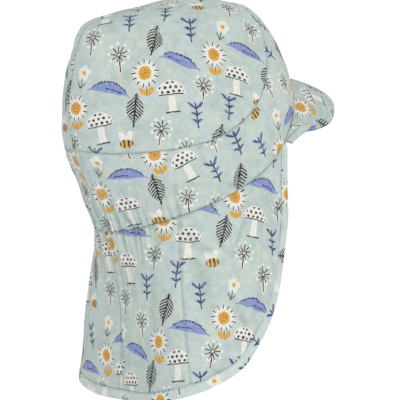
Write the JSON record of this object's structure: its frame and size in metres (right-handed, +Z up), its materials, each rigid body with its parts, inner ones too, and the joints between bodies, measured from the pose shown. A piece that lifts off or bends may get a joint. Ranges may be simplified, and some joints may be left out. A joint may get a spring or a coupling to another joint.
{
  "type": "legionnaire cap",
  "caption": "Child's printed cotton legionnaire cap: seamed crown, forehead panel running on as a band, curved peak, and a bound neck flap gathered at the nape.",
  "frame": {"origin": "where the inside of the crown rests on the top of the head, on the centre seam", "axes": "+Z up as worn, +X towards the wearer's left, -Y forwards along the peak"},
  "size_m": [0.172, 0.2338, 0.3008],
  "materials": {
    "printed_cotton": "fine plain-weave cotton, pale duck-egg ground with a scattered motif print",
    "peak_cotton": "the same printed cotton over a stiffened peak",
    "hem_cotton": "folded binding of the same printed cotton, topstitched"
  },
  "bodies": {
    "root": {"crown_right": "printed_cotton", "crown_left": "printed_cotton", "front_band": "printed_cotton", "peak": "peak_cotton", "flap_right": "printed_cotton", "flap_left": "printed_cotton", "flap_hem": "hem_cotton"}
  },
  "joints": []
}
